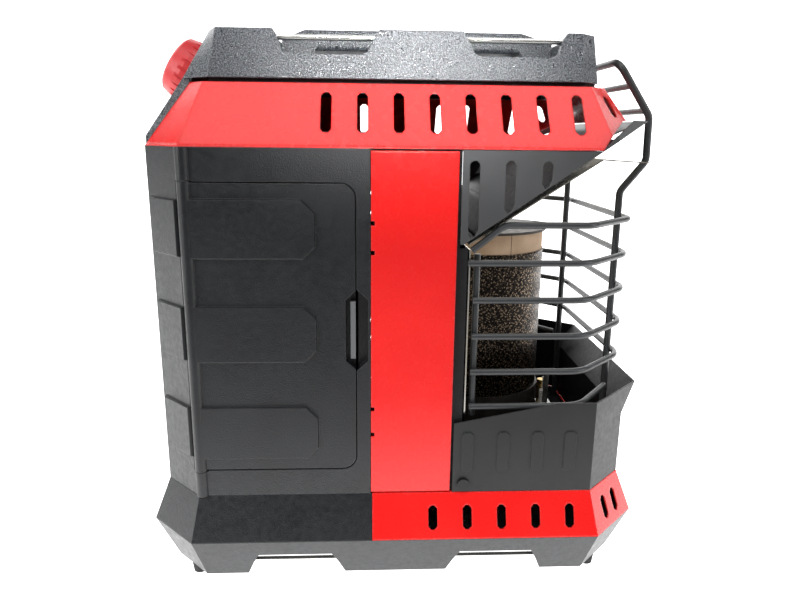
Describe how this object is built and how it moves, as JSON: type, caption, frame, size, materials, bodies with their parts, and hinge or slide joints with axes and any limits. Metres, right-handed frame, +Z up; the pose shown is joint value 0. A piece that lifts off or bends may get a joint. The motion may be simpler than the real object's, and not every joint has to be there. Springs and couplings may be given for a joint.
{
  "type": "portable propane heater",
  "caption": "Portable radiant gas heater with a cylinder door, control knob, wire guard and carry handle.",
  "frame": {"origin": "centre of the overall box, on the floor under the feet", "axes": "+X towards the burner opening, +Z up, the cylinder door on the -Y side"},
  "size_m": [0.3826, 0.2736, 0.4203],
  "materials": {
    "black_plastic": "fine-grain moulded black",
    "cap_plastic": "coarse-textured moulded black",
    "red_paint": "gloss red powder coat",
    "red_plastic": "satin moulded red",
    "grey_paint": "satin dark grey powder coat",
    "chrome": "bright chrome",
    "bright_steel": "bright stainless sheet",
    "steel": "plated sheet steel",
    "screen": "dark heat-proof woven wire",
    "ceramic_fibre": "tan ceramic fibre board",
    "brass": "machined brass",
    "cast": "die-cast zinc",
    "tube": "drawn aluminium",
    "rubber": "moulded black rubber",
    "catch_grey": "light grey moulded catch",
    "dark_screw": "black oxide screws",
    "box_plastic": "moulded switch housings",
    "insulator": "white glazed ceramic"
  },
  "bodies": {
    "housing": {"base_rods": "chrome", "base_tray": "black_plastic", "burner_base": "steel", "burner_cap": "steel", "burner_collar": "ceramic_fibre", "burner_plenum": "steel", "burner_screen": "screen", "burner_tube": "tube", "cap_rods": "chrome", "carry_handle": "black_plastic", "deck_plate": "steel", "deflector": "bright_steel", "door_hinge_pin": "steel", "far_panel": "red_paint", "fire_wall": "steel", "floor_plate": "steel", "front_skirt": "red_paint", "gas_valve": "brass", "guard_cross_wires": "grey_paint", "guard_front_wire": "grey_paint", "guard_rail_1": "grey_paint", "guard_rail_2": "grey_paint", "guard_rail_3": "grey_paint", "guard_rail_4": "grey_paint", "guard_rail_5": "grey_paint", "guard_rail_6": "grey_paint", "guard_side_wires": "grey_paint", "handle_screws": "steel", "hood": "grey_paint", "igniter": "box_plastic", "inlet_seal": "rubber", "lower_shield": "grey_paint", "near_panel": "red_paint", "orifice_holder": "brass", "partition": "steel", "pilot_bracket": "steel", "pilot_burner": "brass", "rear_casing": "black_plastic", "rear_skirt": "black_plastic", "reflector": "bright_steel", "regulator": "cast", "rubber_feet": "rubber", "shield_screws": "dark_screw", "spark_electrode": "insulator", "supply_tube": "tube", "thermocouple": "steel", "tip_switch": "box_plastic", "top_band": "red_paint", "top_cap": "cap_plastic", "valve_bracket": "steel"},
    "door": {"cylinder_door": "black_plastic", "door_catch": "catch_grey"},
    "plunger": {"push_collar": "steel"},
    "knob": {"control_knob": "red_plastic", "valve_stem": "steel"}
  },
  "joints": [
    {"name": "door_hinge", "type": "hinge", "parent": "housing", "child": "door", "pos_m": [-0.1472, -0.12285, 0.2], "axis": [0, 0, -1], "range_deg": [0, 110]},
    {"name": "knob_push", "type": "slide", "parent": "housing", "child": "plunger", "axis": [0.843, 0, -0.5379], "range_m": [0, 0.0045], "stiffness_N_per_m": 600, "springref_m": -0.003},
    {"name": "knob_turn", "type": "hinge", "parent": "plunger", "child": "knob", "pos_m": [-0.15343, 0, 0.379], "axis": [-0.843, 0, 0.5379], "range_deg": [0, 270]}
  ]
}
